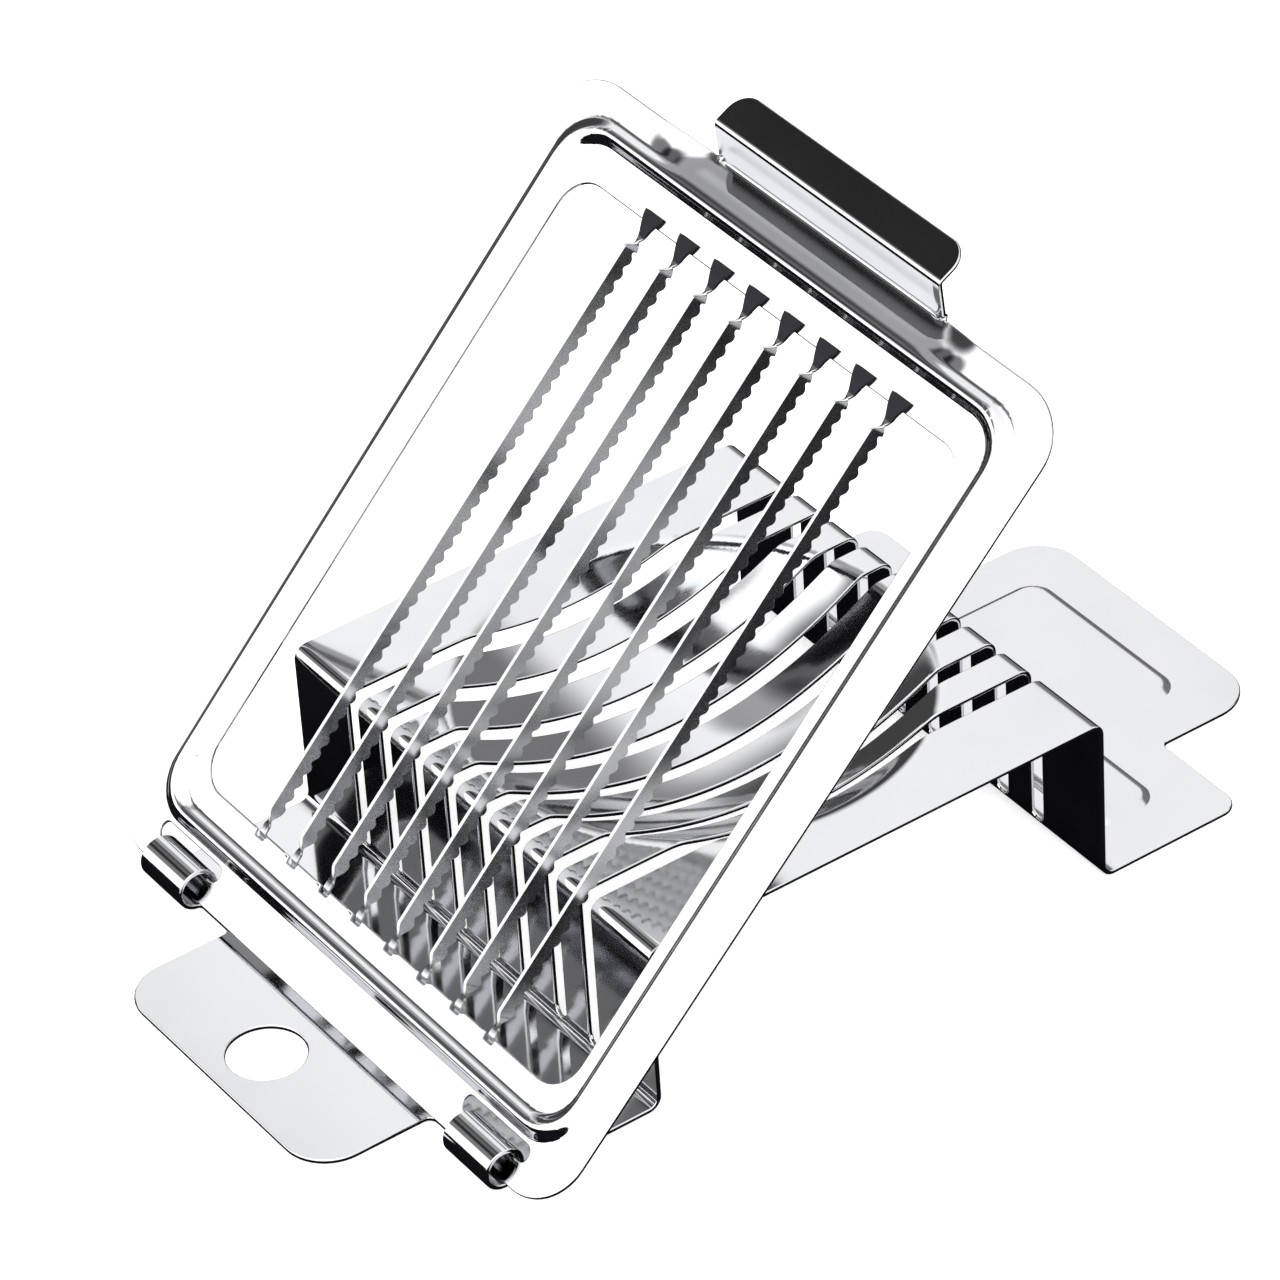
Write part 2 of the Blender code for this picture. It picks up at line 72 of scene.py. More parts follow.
class Visibility(Enum):
    """Which rays meet a studio card."""

    CAMERA_AND_LIGHT = "floor"
    REFLECTION_ONLY = "card"


# Curves and patterns of points

def smooth(value: Array) -> Array:
    """Ease from 0 to 1 with level ends: 3 t squared less 2 t cubed."""
    value = np.clip(value, 0.0, 1.0)
    return value * value * (3.0 - 2.0 * value)


def unit(vectors: Array) -> Array:
    """Vectors scaled to length one."""
    return vectors / np.maximum(np.linalg.norm(vectors, axis=-1, keepdims=True), TINY)


def round_corners(corners: Sequence, radii: float | Sequence, steps: int, closed: bool = True) -> Array:
    """Replace each corner of a flat path by an arc that touches both of its sides.

    The arc's centre lies on the corner's bisector at radius / sin(half angle), and its start is
    turned about it by up to 180 degrees less the corner's angle.

    Args:
        corners: the path's corners, as pairs.
        radii: one radius, or one for each corner.
        steps: steps in each arc.
        closed: whether the last corner joins the first.

    Returns:
        The rounded path as an n x 2 array.
    """
    every = np.asarray(corners, float)
    bent = slice(None) if closed else slice(1, -1)
    corner = every[bent]
    radius = np.broadcast_to(radii, len(every))[bent, None]
    back = unit(np.roll(every, 1, axis=0)[bent] - corner)
    ahead = unit(np.roll(every, -1, axis=0)[bent] - corner)
    half = np.arccos(np.clip((back * ahead).sum(axis=1, keepdims=True), -1.0, 1.0)) / 2
    centre = corner + unit(back + ahead) * radius / np.sin(half)
    start = corner + back * radius / np.tan(half) - centre
    turn = -np.sign(back[:, :1] * ahead[:, 1:] - back[:, 1:] * ahead[:, :1]) * (math.pi - 2 * half)
    angle = turn * np.linspace(0.0, 1.0, steps + 1)
    x = centre[:, :1] + start[:, :1] * np.cos(angle) - start[:, 1:] * np.sin(angle)
    y = centre[:, 1:] + start[:, :1] * np.sin(angle) + start[:, 1:] * np.cos(angle)
    path = np.stack([x, y], axis=-1).reshape(-1, 2)
    return path if closed else np.concatenate([every[:1], path, every[-1:]])


def obround(centre: tuple[float, float], length: float, width: float, along_x: bool = True,
            steps: int = 12) -> Array:
    """A slot outline with half-round ends: the ends of a segment, swept by half the width."""
    reach = (length - width) / 2
    angle = np.linspace(-math.pi / 2, math.pi / 2, steps + 1)
    end = np.column_stack([reach + np.cos(angle) * width / 2, np.sin(angle) * width / 2])
    loop = np.concatenate([end, -end])
    if not along_x:
        loop = np.column_stack([-loop[:, 1], loop[:, 0]])
    return loop + np.asarray(centre)


def split_at(loop: Array, axis: int, lines: Array) -> Array:
    """Add a point to a closed loop wherever it crosses a line of one coordinate.

    Args:
        loop: n x 2 points.
        axis: the coordinate that the lines hold still.
        lines: the lines' values.

    Returns:
        The loop with its crossings in order.
    """
    after = np.roll(loop, -1, axis=0)
    start = loop[:, axis][:, None]
    stop = after[:, axis][:, None]
    reach = 0.02 * MM
    low, high = np.minimum(start, stop) + reach, np.maximum(start, stop) - reach
    edge, line = np.nonzero((lines[None, :] > low) & (lines[None, :] < high))
    share = (lines[line] - start[edge, 0]) / (stop[edge, 0] - start[edge, 0])
    added = loop[edge] + (after - loop)[edge] * share[:, None]
    order = np.argsort(np.concatenate([np.arange(len(loop)), edge + share]), kind="stable")
    return np.concatenate([loop, added])[order]


def wound(loop: Array, sign: float) -> Array:
    """The loop turned so that its area has the given sign: +1 outlines, -1 holes."""
    after = np.roll(loop, -1, axis=0)
    area = (loop[:, 0] * after[:, 1] - after[:, 0] * loop[:, 1]).sum()
    return loop if area * sign > 0 else loop[::-1]


def depth_inside(points: Array, loop: Array) -> Array:
    """Distance of points to a closed loop, above zero inside it.

    The sign comes from the even-odd rule, the distance from each segment's nearest point.
    """
    after = np.roll(loop, -1, axis=0)
    side = after - loop
    result = np.empty(len(points))
    for block in np.array_split(np.arange(len(points)), len(points) // 4000 + 1):
        offset = points[block][:, None, :] - loop[None]
        share = np.clip((offset * side).sum(-1) / np.maximum((side * side).sum(-1), 1e-18), 0.0, 1.0)
        gap = np.linalg.norm(offset - share[..., None] * side, axis=-1).min(axis=1)
        above = loop[None, :, 1] > points[block][:, 1:]
        spans = above != np.roll(above, -1, axis=1)
        rise = np.where(np.abs(side[:, 1]) < 1e-15, 1e-15, side[:, 1])
        ahead = offset[..., 0] < side[:, 0] * offset[..., 1] / rise
        odd = (spans & ahead).sum(axis=1) % 2 == 1
        result[block] = np.where(odd, gap, -gap)
    return result


def rectangle_depth(x: Array, y: Array, half: float, low: float, high: float, radius: float) -> Array:
    """Distance inside a rounded rectangle, below zero outside it."""
    across = np.abs(x) - (half - radius)
    along = np.abs(y - (low + high) / 2) - ((high - low) / 2 - radius)
    outside = np.hypot(np.maximum(across, 0.0), np.maximum(along, 0.0))
    return radius - outside - np.minimum(np.maximum(across, along), 0.0)


@dataclass
class BentStrip:
    """The side view of a bent strip: straight runs joined by arcs, found by its running length."""

    corners: Sequence
    radius: float
    steps: int = 10
    path: Array = field(init=False)
    length: Array = field(init=False)

    def __post_init__(self) -> None:
        """Round the corners and add up the lengths."""
        self.path = round_corners(self.corners, self.radius, self.steps, closed=False)
        runs = np.linalg.norm(np.diff(self.path, axis=0), axis=1)
        self.length = np.concatenate([[0.0], np.cumsum(runs)])

    def place(self, distance: Array) -> tuple[Array, Array]:
        """The two coordinates of the strip at a running length."""
        first = np.interp(distance, self.length, self.path[:, 0])
        return first, np.interp(distance, self.length, self.path[:, 1])


# Meshes

def make_piece(name: str, points: Array, faces: list, sharp: float = 32.0) -> bpy.types.Object:
    """A mesh object at the origin, smooth except along its sharp edges.

    Args:
        name: the piece's name.
        points: n x 3 places in the row frame.
        faces: lists of vertex numbers, seen anticlockwise from outside.
        sharp: the least angle of a sharp edge, in degrees.

    Returns:
        The linked object.
    """
    mesh = bpy.data.meshes.new(name)
    mesh.from_pydata(points.tolist(), [], faces)
    mesh.update()
    mesh.shade_smooth()
    mesh.set_sharp_from_angle(angle=math.radians(sharp))
    piece = bpy.data.objects.new(name, mesh)
    bpy.context.scene.collection.objects.link(piece)
    return piece


@dataclass
class Blank:
    """A flat sheet blank: an outline with holes, triangulated with extra points inside."""

    outline: Array
    holes: list[Array]
    inner: Array
    margin: float = 0.27 * MM
    points: Array = field(init=False)
    faces: Array = field(init=False)
    loops: list[Array] = field(init=False)

    def __post_init__(self) -> None:
        """Stamp the blank: keep the inner points that lie in the sheet and join all to triangles."""
        borders = [wound(self.outline, 1.0)] + [wound(hole, -1.0) for hole in self.holes]
        keep = depth_inside(self.inner, borders[0]) > self.margin
        for hole in borders[1:]:
            near = np.nonzero(keep & self._near(self.inner, hole))[0]
            keep[near] = depth_inside(self.inner[near], hole) < -self.margin
        self.points = np.concatenate([*borders, self.inner[keep]])
        starts = np.cumsum([0] + [len(border) for border in borders])
        self.loops = [np.arange(len(border)) + start for border, start in zip(borders, starts)]
        edges = np.concatenate([np.column_stack([loop, np.roll(loop, -1)]) for loop in self.loops])
        flat = [Vector(point) for point in (self.points / MM).tolist()]
        found = delaunay_2d_cdt(flat, edges.tolist(), [], 0, 1e-7, False)
        if len(found[0]) != len(flat):
            raise ValueError("the blank's outline crosses itself")
        triangles = np.array(found[2])
        loose = np.nonzero((triangles < starts[-1]).all(axis=1))[0]
        middle = self.points[triangles[loose]].mean(axis=1)
        stays = depth_inside(middle, borders[0]) > 0
        for hole in borders[1:]:
            stays &= depth_inside(middle, hole) < 0
        self.faces = np.delete(triangles, loose[~stays], axis=0)

    @staticmethod
    def _near(points: Array, loop: Array) -> Array:
        """Which points lie in a loop's box, or just outside it."""
        reach = 0.3 * MM
        return ((points > loop.min(axis=0) - reach) & (points < loop.max(axis=0) + reach)).all(axis=1)

    def pressed(self, name: str, middle: Array, thickness: float, bulge: float) -> bpy.types.Object:
        """Give the formed blank its thickness and a slightly rounded cut edge.

        Both faces lie half the thickness from the middle surface along its normal. The cut edge
        is half an ellipse from one face to the other, as deep as the bulge.

        Args:
            name: the piece's name.
            middle: the formed middle surface, one place for each point of the blank.
            thickness: the sheet's thickness.
            bulge: how far the cut edge stands out.

        Returns:
            The piece.
        """
        a, b, c = (middle[self.faces[:, k]] for k in range(3))
        normal = np.zeros_like(middle)
        np.add.at(normal, self.faces.ravel(), np.repeat(np.cross(b - a, c - a), 3, axis=0))
        normal = unit(normal)
        half = thickness / 2
        count = len(middle)
        faces_up, faces_down = middle + normal * half, middle - normal * half
        rims, rows, total = [], [], 2 * count
        for loop in self.loops:
            along = middle[np.roll(loop, -1)] - middle[np.roll(loop, 1)]
            out = unit(np.cross(along, normal[loop]))
            faces_up[loop] -= out * bulge
            faces_down[loop] -= out * bulge
            ring = [middle[loop] + normal[loop] * half * math.sin(t) + out * bulge * (math.cos(t) - 1.0)
                    for t in np.radians([60.0, 30.0, 0.0, -30.0, -60.0])]
            rows.extend(ring)
            numbers = total + np.arange(len(ring))[:, None] * len(loop) + np.arange(len(loop))
            numbers = np.vstack([loop[None], numbers, loop[None] + count])
            after = np.roll(numbers, -1, axis=1)
            quads = np.stack([numbers[:-1], numbers[1:], after[1:], after[:-1]], axis=-1)
            rims.append(quads.reshape(-1, 4))
            total += len(ring) * len(loop)
        every = np.concatenate([self.faces, self.faces[:, ::-1] + count]).tolist()
        every += np.concatenate(rims).tolist()
        piece = make_piece(name, np.concatenate([faces_up, faces_down, *rows]), every, 180.0)
        self._crease(piece.data, total, count)
        return piece

    def _crease(self, mesh: bpy.types.Mesh, total: int, count: int) -> None:
        """Mark the borders of both faces sharp, so that the faces keep their own reflections."""
        pairs = np.concatenate([np.column_stack([loop, np.roll(loop, -1)]) for loop in self.loops])
        pairs = np.sort(np.concatenate([pairs, pairs + count]), axis=1)
        ends = np.empty(len(mesh.edges) * 2, int)
        mesh.edges.foreach_get("vertices", ends)
        ends = np.sort(ends.reshape(-1, 2), axis=1)
        border = np.isin(ends[:, 0] * total + ends[:, 1], pairs[:, 0] * total + pairs[:, 1])
        mesh.edges.foreach_set("use_edge_sharp", border)


# Finishes

def linear(code: str) -> tuple[float, float, float, float]:
    """A colour given as sRGB hex, in linear light."""
    part = np.array([int(code[k:k + 2], 16) for k in (1, 3, 5)]) / 255.0
    light = np.where(part <= 0.04045, part / 12.92, ((part + 0.055) / 1.055) ** 2.4)
    return (*light.tolist(), 1.0)


def add(tree: bpy.types.NodeTree, kind: str, inputs: dict | None = None, **settings: Any) -> bpy.types.Node:
    """Add a node with its settings and its inputs, each a value or the socket that it is linked to."""
    node = tree.nodes.new(kind)
    for name, value in settings.items():
        setattr(node, name, value)
    for socket, value in (inputs or {}).items():
        if isinstance(value, bpy.types.NodeSocket):
            tree.links.new(value, node.inputs[socket])
        else:
            node.inputs[socket].default_value = value
    return node


def per_metre(size_in_mm: float) -> float:
    """A texture scale from the size of its features."""
    return 1.0 / (size_in_mm * MM)


@dataclass(frozen=True)
class Stainless:
    """Stainless steel strip and sheet. Lines run along one axis of the piece, from rolling or grinding.

    The lines shift the roughness and tilt the surface a little, the haze clouds the mirror in
    soft patches, and the waves are the slight ripple that pressing leaves in thin sheet. Where the
    painted-reflection point attribute is 1, a finish with a painted reflection colour is painted dark
    and rougher: a painted dark reflection of the surroundings, not a colour of the steel.
    """

    name: str
    bright: str
    dull: str
    roughness: float
    rough_spread: float
    line_width: float
    line_length: float
    line_depth: float
    haze_size: float
    wave_size: float
    wave_depth: float
    painted_reflection_colour: str = ""
    painted_reflection_roughness: float = 0.45

    def material(self, turn: tuple[float, float, float]) -> bpy.types.Material:
        """Build the finish.

        Args:
            turn: the turn of the lines, as angles about X, Y and Z.

        Returns:
            The material.
        """
        made = bpy.data.materials.new(self.name)
        made.use_nodes = True
        tree = made.node_tree
        tree.nodes.clear()
        place = add(tree, "ShaderNodeTexCoord").outputs["Object"]
        turned = add(tree, "ShaderNodeMapping", {"Vector": place, "Rotation": turn}).outputs["Vector"]
        thin, long = per_metre(self.line_width), per_metre(self.line_length)
        stretched = add(tree, "ShaderNodeMapping", {"Vector": turned, "Scale": (thin, long, thin)})
        lines = add(tree, "ShaderNodeTexNoise", {"Vector": stretched.outputs["Vector"], "Scale": 1.0,
                                                 "Detail": 4.0, "Roughness": 0.6}).outputs["Fac"]
        haze = add(tree, "ShaderNodeTexNoise", {"Vector": place, "Scale": per_metre(self.haze_size),
                                                "Detail": 3.0}).outputs["Fac"]
        waves = add(tree, "ShaderNodeTexNoise", {"Vector": place, "Scale": per_metre(self.wave_size),
                                                 "Detail": 1.0}).outputs["Fac"]
        mixed = add(tree, "ShaderNodeMath", {0: lines, 1: haze}, operation="ADD").outputs[0]
        rough = add(tree, "ShaderNodeMapRange", {
            "Value": mixed, "From Min": 0.6, "From Max": 1.4,
            "To Min": self.roughness - self.rough_spread, "To Max": self.roughness + self.rough_spread})
        tint = add(tree, "ShaderNodeMix", {0: haze, 6: linear(self.dull), 7: linear(self.bright)},
                   data_type="RGBA").outputs[2]
        level = rough.outputs["Result"]
        # Painted dark reflection: where the mask is 1, the colour is painted near black and the roughness
        # raised.
        if self.painted_reflection_colour:
            painted_reflection_share = add(tree, "ShaderNodeAttribute", attribute_name="scorch").outputs["Fac"]
            tint = add(tree, "ShaderNodeMix", {0: painted_reflection_share, 6: tint, 7: linear(self.painted_reflection_colour)},
                       data_type="RGBA").outputs[2]
            level = add(tree, "ShaderNodeMix", {0: painted_reflection_share, 2: level, 3: self.painted_reflection_roughness}).outputs[0]
        ripple = add(tree, "ShaderNodeBump", {"Height": waves, "Strength": 1.0,
                                              "Distance": self.wave_depth * MM}).outputs["Normal"]
        bump = add(tree, "ShaderNodeBump", {"Height": lines, "Strength": 1.0, "Normal": ripple,
                                            "Distance": self.line_depth * MM}).outputs["Normal"]
        shader = add(tree, "ShaderNodeBsdfPrincipled", {
            "Base Color": tint, "Metallic": 1.0, "Roughness": level, "Normal": bump})
        add(tree, "ShaderNodeOutputMaterial", {"Surface": shader.outputs["BSDF"]})
        return made


# Mirror-polished sheet, buffed after pressing: sharp reflections that waver a little.
POLISHED = Stainless("polished_stainless_sheet", bright="#D3D3D6", dull="#C7C8CB", roughness=0.07,
                     rough_spread=0.035, line_width=0.18, line_length=9.0, line_depth=0.00025,
                     haze_size=11.0, wave_size=16.0, wave_depth=0.012)
# Strip steel with a ground satin face: cross-ground lines, which spread the light to a soft gray.
# Real grit lines are about 0.02 mm apart and are drawn coarser, so that they show. The flat rear
# ends are painted nearly black: a painted dark reflection of the surroundings that they mirror.
SATIN = Stainless("satin_ground_stainless_strip", bright="#CFD0D1", dull="#BDBEC0", roughness=0.25,
                  rough_spread=0.06, line_width=0.6, line_length=0.09, line_depth=0.0012,
                  haze_size=4.0, wave_size=10.0, wave_depth=0.004, painted_reflection_colour="#2E2E33")


# The slicer

@dataclass
class Hinge:
    """The line that the frame turns about, and the frame's angle at rest."""

    y: float
    z: float
    rest: float = math.radians(45.4)

    def from_flat(self, x: Array, along: Array, out: Array) -> Array:
        """Places on the frame in the row frame: along the frame from the hinge, and out of its face."""
        cos, sin = math.cos(self.rest), math.sin(self.rest)
        return np.stack([x, self.y + along * cos - out * sin, self.z + along * sin + out * cos], axis=-1)


@dataclass
class Base:
    """One bent sheet: front tab, hinge ears, slotted table with its egg seat, and rear foot."""

    hinge: Hinge
    half_width: float
    front_tab: float
    rear_end: float
    table_height: float
    sheet: float = 0.6 * MM
    flange: float = 20.9 * MM
    table: float = 64.7 * MM
    wing: float = 20.3 * MM
    bend: float = 1.5 * MM
    tab_half: float = 20.9 * MM
    tab_corner: float = 5.8 * MM
    root_fillet: float = 1.0 * MM
    wing_corner: float = 2.5 * MM
    ear_width: float = 8.5 * MM
    curl_end: float = math.radians(-18.0)
    finger_hole: float = 4.75 * MM
    finger_hole_inset: float = 7.3 * MM
    seat_half: tuple[float, float] = (29.0 * MM, 28.0 * MM)
    seat_depth: float = 8.5 * MM
    seat_rim: float = 0.035
    seat_fade: float = 0.4
    panel_inset: float = 6.8 * MM
    panel_from_wall: float = 3.5 * MM
    panel_rise: float = 0.6 * MM
    panel_step: float = 0.9 * MM
    panel_corner: float = 3.0 * MM
    slot_pitch: float = 6.7 * MM
    slot_count: int = 8
    slot_width: float = 2.21 * MM
    slot_floor: float = 1.3 * MM
    cut_bulge: float = 0.15 * MM
    spacing: float = 0.6 * MM

    @property
    def low(self) -> float:
        """Height of the foot's middle surface."""
        return self.sheet / 2

    @property
    def curl(self) -> float:
        """Radius of an ear's curl at the middle of the sheet."""
        return self.hinge.z - self.low

    @property
    def ear_length(self) -> float:
        """Length of an ear before it is curled."""
        return self.curl * (math.radians(270.0) - self.curl_end)

    @property
    def wing_end(self) -> float:
        """Distance of the wings' rear edge from the hinge."""
        return self.flange + self.table + self.wing

    def strip(self) -> BentStrip:
        """The side view of the sheet from the flange's front edge to the tab's end."""
        high = self.table_height - self.low
        front = self.flange + self.low
        back = self.flange + self.table - self.low
        corners = [(0.0, self.low), (front, self.low), (front, high), (back, high), (back, self.low),
                   (self.rear_end, self.low)]
        return BentStrip(corners, self.bend)

    def outline(self, strip: BentStrip) -> Array:
        """The blank's outline: X across, and running length from the flange's front edge."""
        end = strip.length[-1]
        wings = end - (self.rear_end - self.wing_end)
        ear = self.half_width - self.ear_width
        burr = 0.4 * MM
        right = [(self.tab_half, -self.front_tab, self.tab_corner), (self.tab_half, 0.0, self.root_fillet),
                 (ear, 0.0, burr), (ear, -self.ear_length, burr), (self.half_width, -self.ear_length, burr),
                 (self.half_width, wings, self.wing_corner), (self.tab_half, wings, self.root_fillet),
                 (self.tab_half, end, self.tab_corner)]
        every = np.array(right + [(-x, y, r) for x, y, r in reversed(right)])
        return round_corners(every[:, :2], every[:, 2], 12)

    def holes(self, strip: BentStrip) -> list[Array]:
        """The blank's slots, which run from foot to foot over the table, and its finger hole."""
        rising = strip.length < strip.length[-1] / 2
        start = np.interp(self.slot_floor, strip.path[rising, 1], strip.length[rising])
        falling = strip.length > self.flange + self.table
        stop = np.interp(-self.slot_floor, -strip.path[falling, 1], strip.length[falling])
        middle = (start + stop) / 2
        places = (np.arange(self.slot_count) - (self.slot_count - 1) / 2) * self.slot_pitch
        slots = [obround((x, middle), stop - start, self.slot_width, along_x=False) for x in places]
        angle = np.linspace(0.0, 2 * math.pi, 72, endpoint=False)
        ring = np.column_stack([np.cos(angle), np.sin(angle)]) * self.finger_hole
        return slots + [ring + np.array([0.0, self.finger_hole_inset - self.front_tab])]

    def rows(self, strip: BentStrip) -> Array:
        """Running lengths of the blank's rows: close where the sheet bends or dips."""
        length = strip.length
        flats = np.linspace(-self.front_tab, 0.0, 9), np.linspace(0.0, self.flange, 10)
        curls = np.linspace(-self.ear_length, 0.0, 49)
        hat = np.arange(length[1], length[-1], self.spacing)
        rows = np.sort(np.concatenate([*flats, curls, length, hat]))
        bends = np.abs(rows[:, None] - length[None]).min(axis=1)
        rows = rows[(bends < TINY) | (bends > 0.1 * MM)]
        return rows[np.concatenate([[True], np.diff(rows) > 0.02 * MM])]

    def seat_drop(self, x: Array, y: Array) -> Array:
        """Depth of the oval seat: the full depth times 1 - r squared, eased at the rim.

        The easing is half of the level plus the root of the level squared and the rim squared. It
        is lowered so that it ends at zero where the level is less than the fade below the rim.
        """
        middle = self.flange + self.table / 2
        ring = (x / self.seat_half[0]) ** 2 + ((y - middle) / self.seat_half[1]) ** 2
        level = 1.0 - ring
        eased = (level + np.sqrt(level ** 2 + self.seat_rim ** 2)) / 2
        left = self.seat_rim ** 2 / (4 * self.seat_fade)
        return self.seat_depth * np.where(level > -self.seat_fade, eased - left, 0.0).clip(0.0)

    def panel_depth(self, x: Array, y: Array) -> Array:
        """Distance inside the T-shaped panel, which is two rounded rectangles."""
        start = self.flange + self.table + self.panel_from_wall
        inset, corner = self.panel_inset, self.panel_corner
        head = rectangle_depth(x, y, self.half_width - inset, start, self.wing_end - inset, corner)
        stem = rectangle_depth(x, y, self.tab_half - inset, start, self.rear_end - inset, corner)
        return np.maximum(head, stem)

    def form(self, flat: Array, strip: BentStrip) -> Array:
        """Bend the blank: the strip's side view, the seat and panel pressed in, the ears curled.

        Args:
            flat: the blank's points, X and running length.
            strip: the side view.

        Returns:
            Places in the row frame.
        """
        x, length = flat.T
        y, z = strip.place(length)
        level = self.table_height - self.low
        z = z - np.where(z > level - TINY, self.seat_drop(x, y), 0.0)
        lift = self.panel_rise * smooth(self.panel_depth(x, y) / self.panel_step)
        z = z + np.where(y > self.flange + self.table, lift, 0.0)
        y = np.where(length < 0, length, y)
        turn = math.radians(270.0) + length / self.curl
        ear = (length < 0) & (np.abs(x) > (self.tab_half + self.half_width - self.ear_width) / 2)
        y = np.where(ear, self.curl * np.cos(turn), y)
        z = np.where(ear, self.hinge.z + self.curl * np.sin(turn), z)
        return np.column_stack([x, self.hinge.y + y, z])

    def panel_edge(self, strip: BentStrip) -> Array:
        """A close pattern of points along the panel's step."""
        fine = self.spacing / 3
        across = np.arange(-self.half_width, self.half_width, fine) + fine / 4
        along = np.arange(self.flange + self.table, self.rear_end, fine)
        points = np.stack(np.meshgrid(across, along), axis=-1).reshape(-1, 2)
        depth = self.panel_depth(*points.T)
        points = points[(depth > -fine) & (depth < self.panel_step + fine)]
        return points + np.array([0.0, strip.length[-1] - self.rear_end])

    def build(self) -> bpy.types.Object:
        """Stamp, bend and thicken the sheet."""
        strip = self.strip()
        rows = self.rows(strip)
        columns = np.arange(-self.half_width, self.half_width, self.spacing) + self.spacing / 2
        coarse = np.stack(np.meshgrid(columns, rows), axis=-1).reshape(-1, 2)
        inner = np.concatenate([coarse, self.panel_edge(strip)])
        loops = [split_at(loop, 1, rows) for loop in [self.outline(strip), *self.holes(strip)]]
        blank = Blank(loops[0], loops[1:], inner)
        return blank.pressed("base_sheet", self.form(blank.points, strip), self.sheet, self.cut_bulge)

    def dress(self, piece: bpy.types.Object) -> None:
        """Polish the sheet and stand it in for the CAD base."""
        piece.data.materials.append(POLISHED.material((0.0, 0.0, 0.0)))
        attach(piece, "stand")
        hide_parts("base")


@dataclass
class BladeFrame:
    """One pressed sheet ring with a bead, a finger handle, hinge holes and notches.

    Flat coordinates: X across, V along the frame from the hinge, W out of its top face.
    """

    hinge: Hinge
    blade_places: Array
    sheet: float = 0.5 * MM
    half: float = 45.3 * MM
    flare: float = 1.4 * MM
    front: float = -1.17 * MM
    rear: float = 105.52 * MM
    corner: float = 7.0 * MM
    opening_half: float = 37.2 * MM
    opening_front: float = 10.4 * MM
    opening_rear: float = 94.62 * MM
    opening_corner: float = 4.5 * MM
    bead_width: float = 3.0 * MM
    bead_rise: float = 1.0 * MM
    bead_insets: tuple[float, float, float] = (3.4 * MM, 5.6 * MM, 3.6 * MM)
    bead_corner: float = 6.0 * MM
    bead_tightens: float = 0.4
    handle_half: float = 21.2 * MM
    handle_dip: float = 2.2 * MM
    handle_blend: float = 9.3 * MM
    handle_rise: float = 3.9 * MM
    handle_lip: float = 4.8 * MM
    handle_lip_drop: float = 1.4 * MM
    handle_corner: float = 3.0 * MM
    handle_bend: float = 0.6 * MM
    foot_run: float = 0.4 * MM
    hole_centre: tuple[float, float] = (31.55 * MM, 2.84 * MM)
    hole_size: tuple[float, float] = (12.5 * MM, 2.12 * MM)
    notch_half: float = 0.9 * MM
    notch_depth: float = 0.75 * MM
    cut_bulge: float = 0.15 * MM

    @property
    def crest(self) -> float:
        """Where the bead's crest crosses the rear bar."""
        return self.rear - self.bead_insets[2] - self.bead_width / 2

    def handle(self) -> BentStrip:
        """The side view of the handle: down at the rear edge, up the riser and over the lip."""
        top = self.handle_rise - self.handle_dip
        knee = self.rear + self.handle_rise - self.handle_bend
        slope = (self.bead_rise + self.handle_dip) / (self.rear - self.crest) / 2
        corners = [(self.rear - self.foot_run, self.foot_run * slope - self.handle_dip),
                   (self.rear, -self.handle_dip), (knee, top),
                   (knee + self.handle_lip, top - self.handle_lip_drop)]
        return BentStrip(corners, self.handle_bend, steps=8)

    def outline(self, reach: float) -> Array:
        """The blank's outline, with the handle's tab as far as the reach."""
        right = [(self.half, self.front, self.corner), (self.half, self.rear, self.corner),
                 (self.handle_half, self.rear, 0.5 * MM), (self.handle_half, reach, self.handle_corner)]
        every = np.array(right + [(-x, y, r) for x, y, r in reversed(right)])
        return round_corners(every[:, :2], every[:, 2], 14)

    def opening(self) -> Array:
        """The opening, with a notch in its front edge for each blade."""
        edge, deep = self.opening_front, self.opening_front - self.notch_depth
        left, right = self.blade_places - self.notch_half, self.blade_places + self.notch_half
        corners = ((left, edge), (left, deep), (right, deep), (right, edge))
        notch = np.stack([np.column_stack([x, np.full(len(x), y)]) for x, y in corners], axis=1)
        notch = notch.reshape(-1, 2)
        half, rear = self.opening_half, self.opening_rear
        corners = np.vstack([[(-half, edge)], notch, [(half, edge), (half, rear), (-half, rear)]])
        radii = np.full(len(corners), 0.2 * MM)
        radii[[0, -3, -2, -1]] = self.opening_corner
        return round_corners(corners, radii, 8)

    def holes(self) -> list[Array]:
        """The opening and the two hinge holes."""
        hinges = [obround((side.value * self.hole_centre[0], self.hole_centre[1]), *self.hole_size)
                  for side in Side]
        return [self.opening(), *hinges]

    def bead_share(self, x: Array, v: Array) -> Array:
        """How far a point lies across the bead: 0 at its outer edge, 1 at its inner edge.

        The share is the depth inside the outer edge over that depth plus the distance outside the
        inner edge, so both edges keep their own corner radius.
        """
        side, front, rear = self.bead_insets
        outer = rectangle_depth(x, v, self.half - side, self.front + front, self.rear - rear,
                                self.bead_corner)
        width = self.bead_width
        inner = rectangle_depth(x, v, self.half - side - width, self.front + front + width,
                                self.rear - rear - width, self.bead_corner - self.bead_tightens * width)
        deep, near = np.maximum(outer, 0.0), np.maximum(-inner, 0.0)
        return np.where(outer <= 0, 0.0, deep / np.maximum(deep + near, TINY))

    def height(self, x: Array, v: Array) -> Array:
        """Height of the pressed ring: a bead of squared-sine section, and a ramp down to the handle.

        The ramp falls from the bead's crest to the handle's foot, halfway between a straight line
        and an eased one, and fades out beside the handle.
        """
        bead = self.bead_rise * np.sin(math.pi * self.bead_share(x, v)) ** 2
        share = np.clip((v - self.crest) / (self.rear - self.crest), 0.0, 1.0)
        ramp = self.bead_rise - (self.bead_rise + self.handle_dip) * (share + smooth(share)) / 2
        beside = smooth((self.handle_half + self.handle_blend - np.abs(x)) / self.handle_blend)
        weight = np.where(share > 0.0, beside, 0.0)
        return bead * (1.0 - weight) + ramp * weight

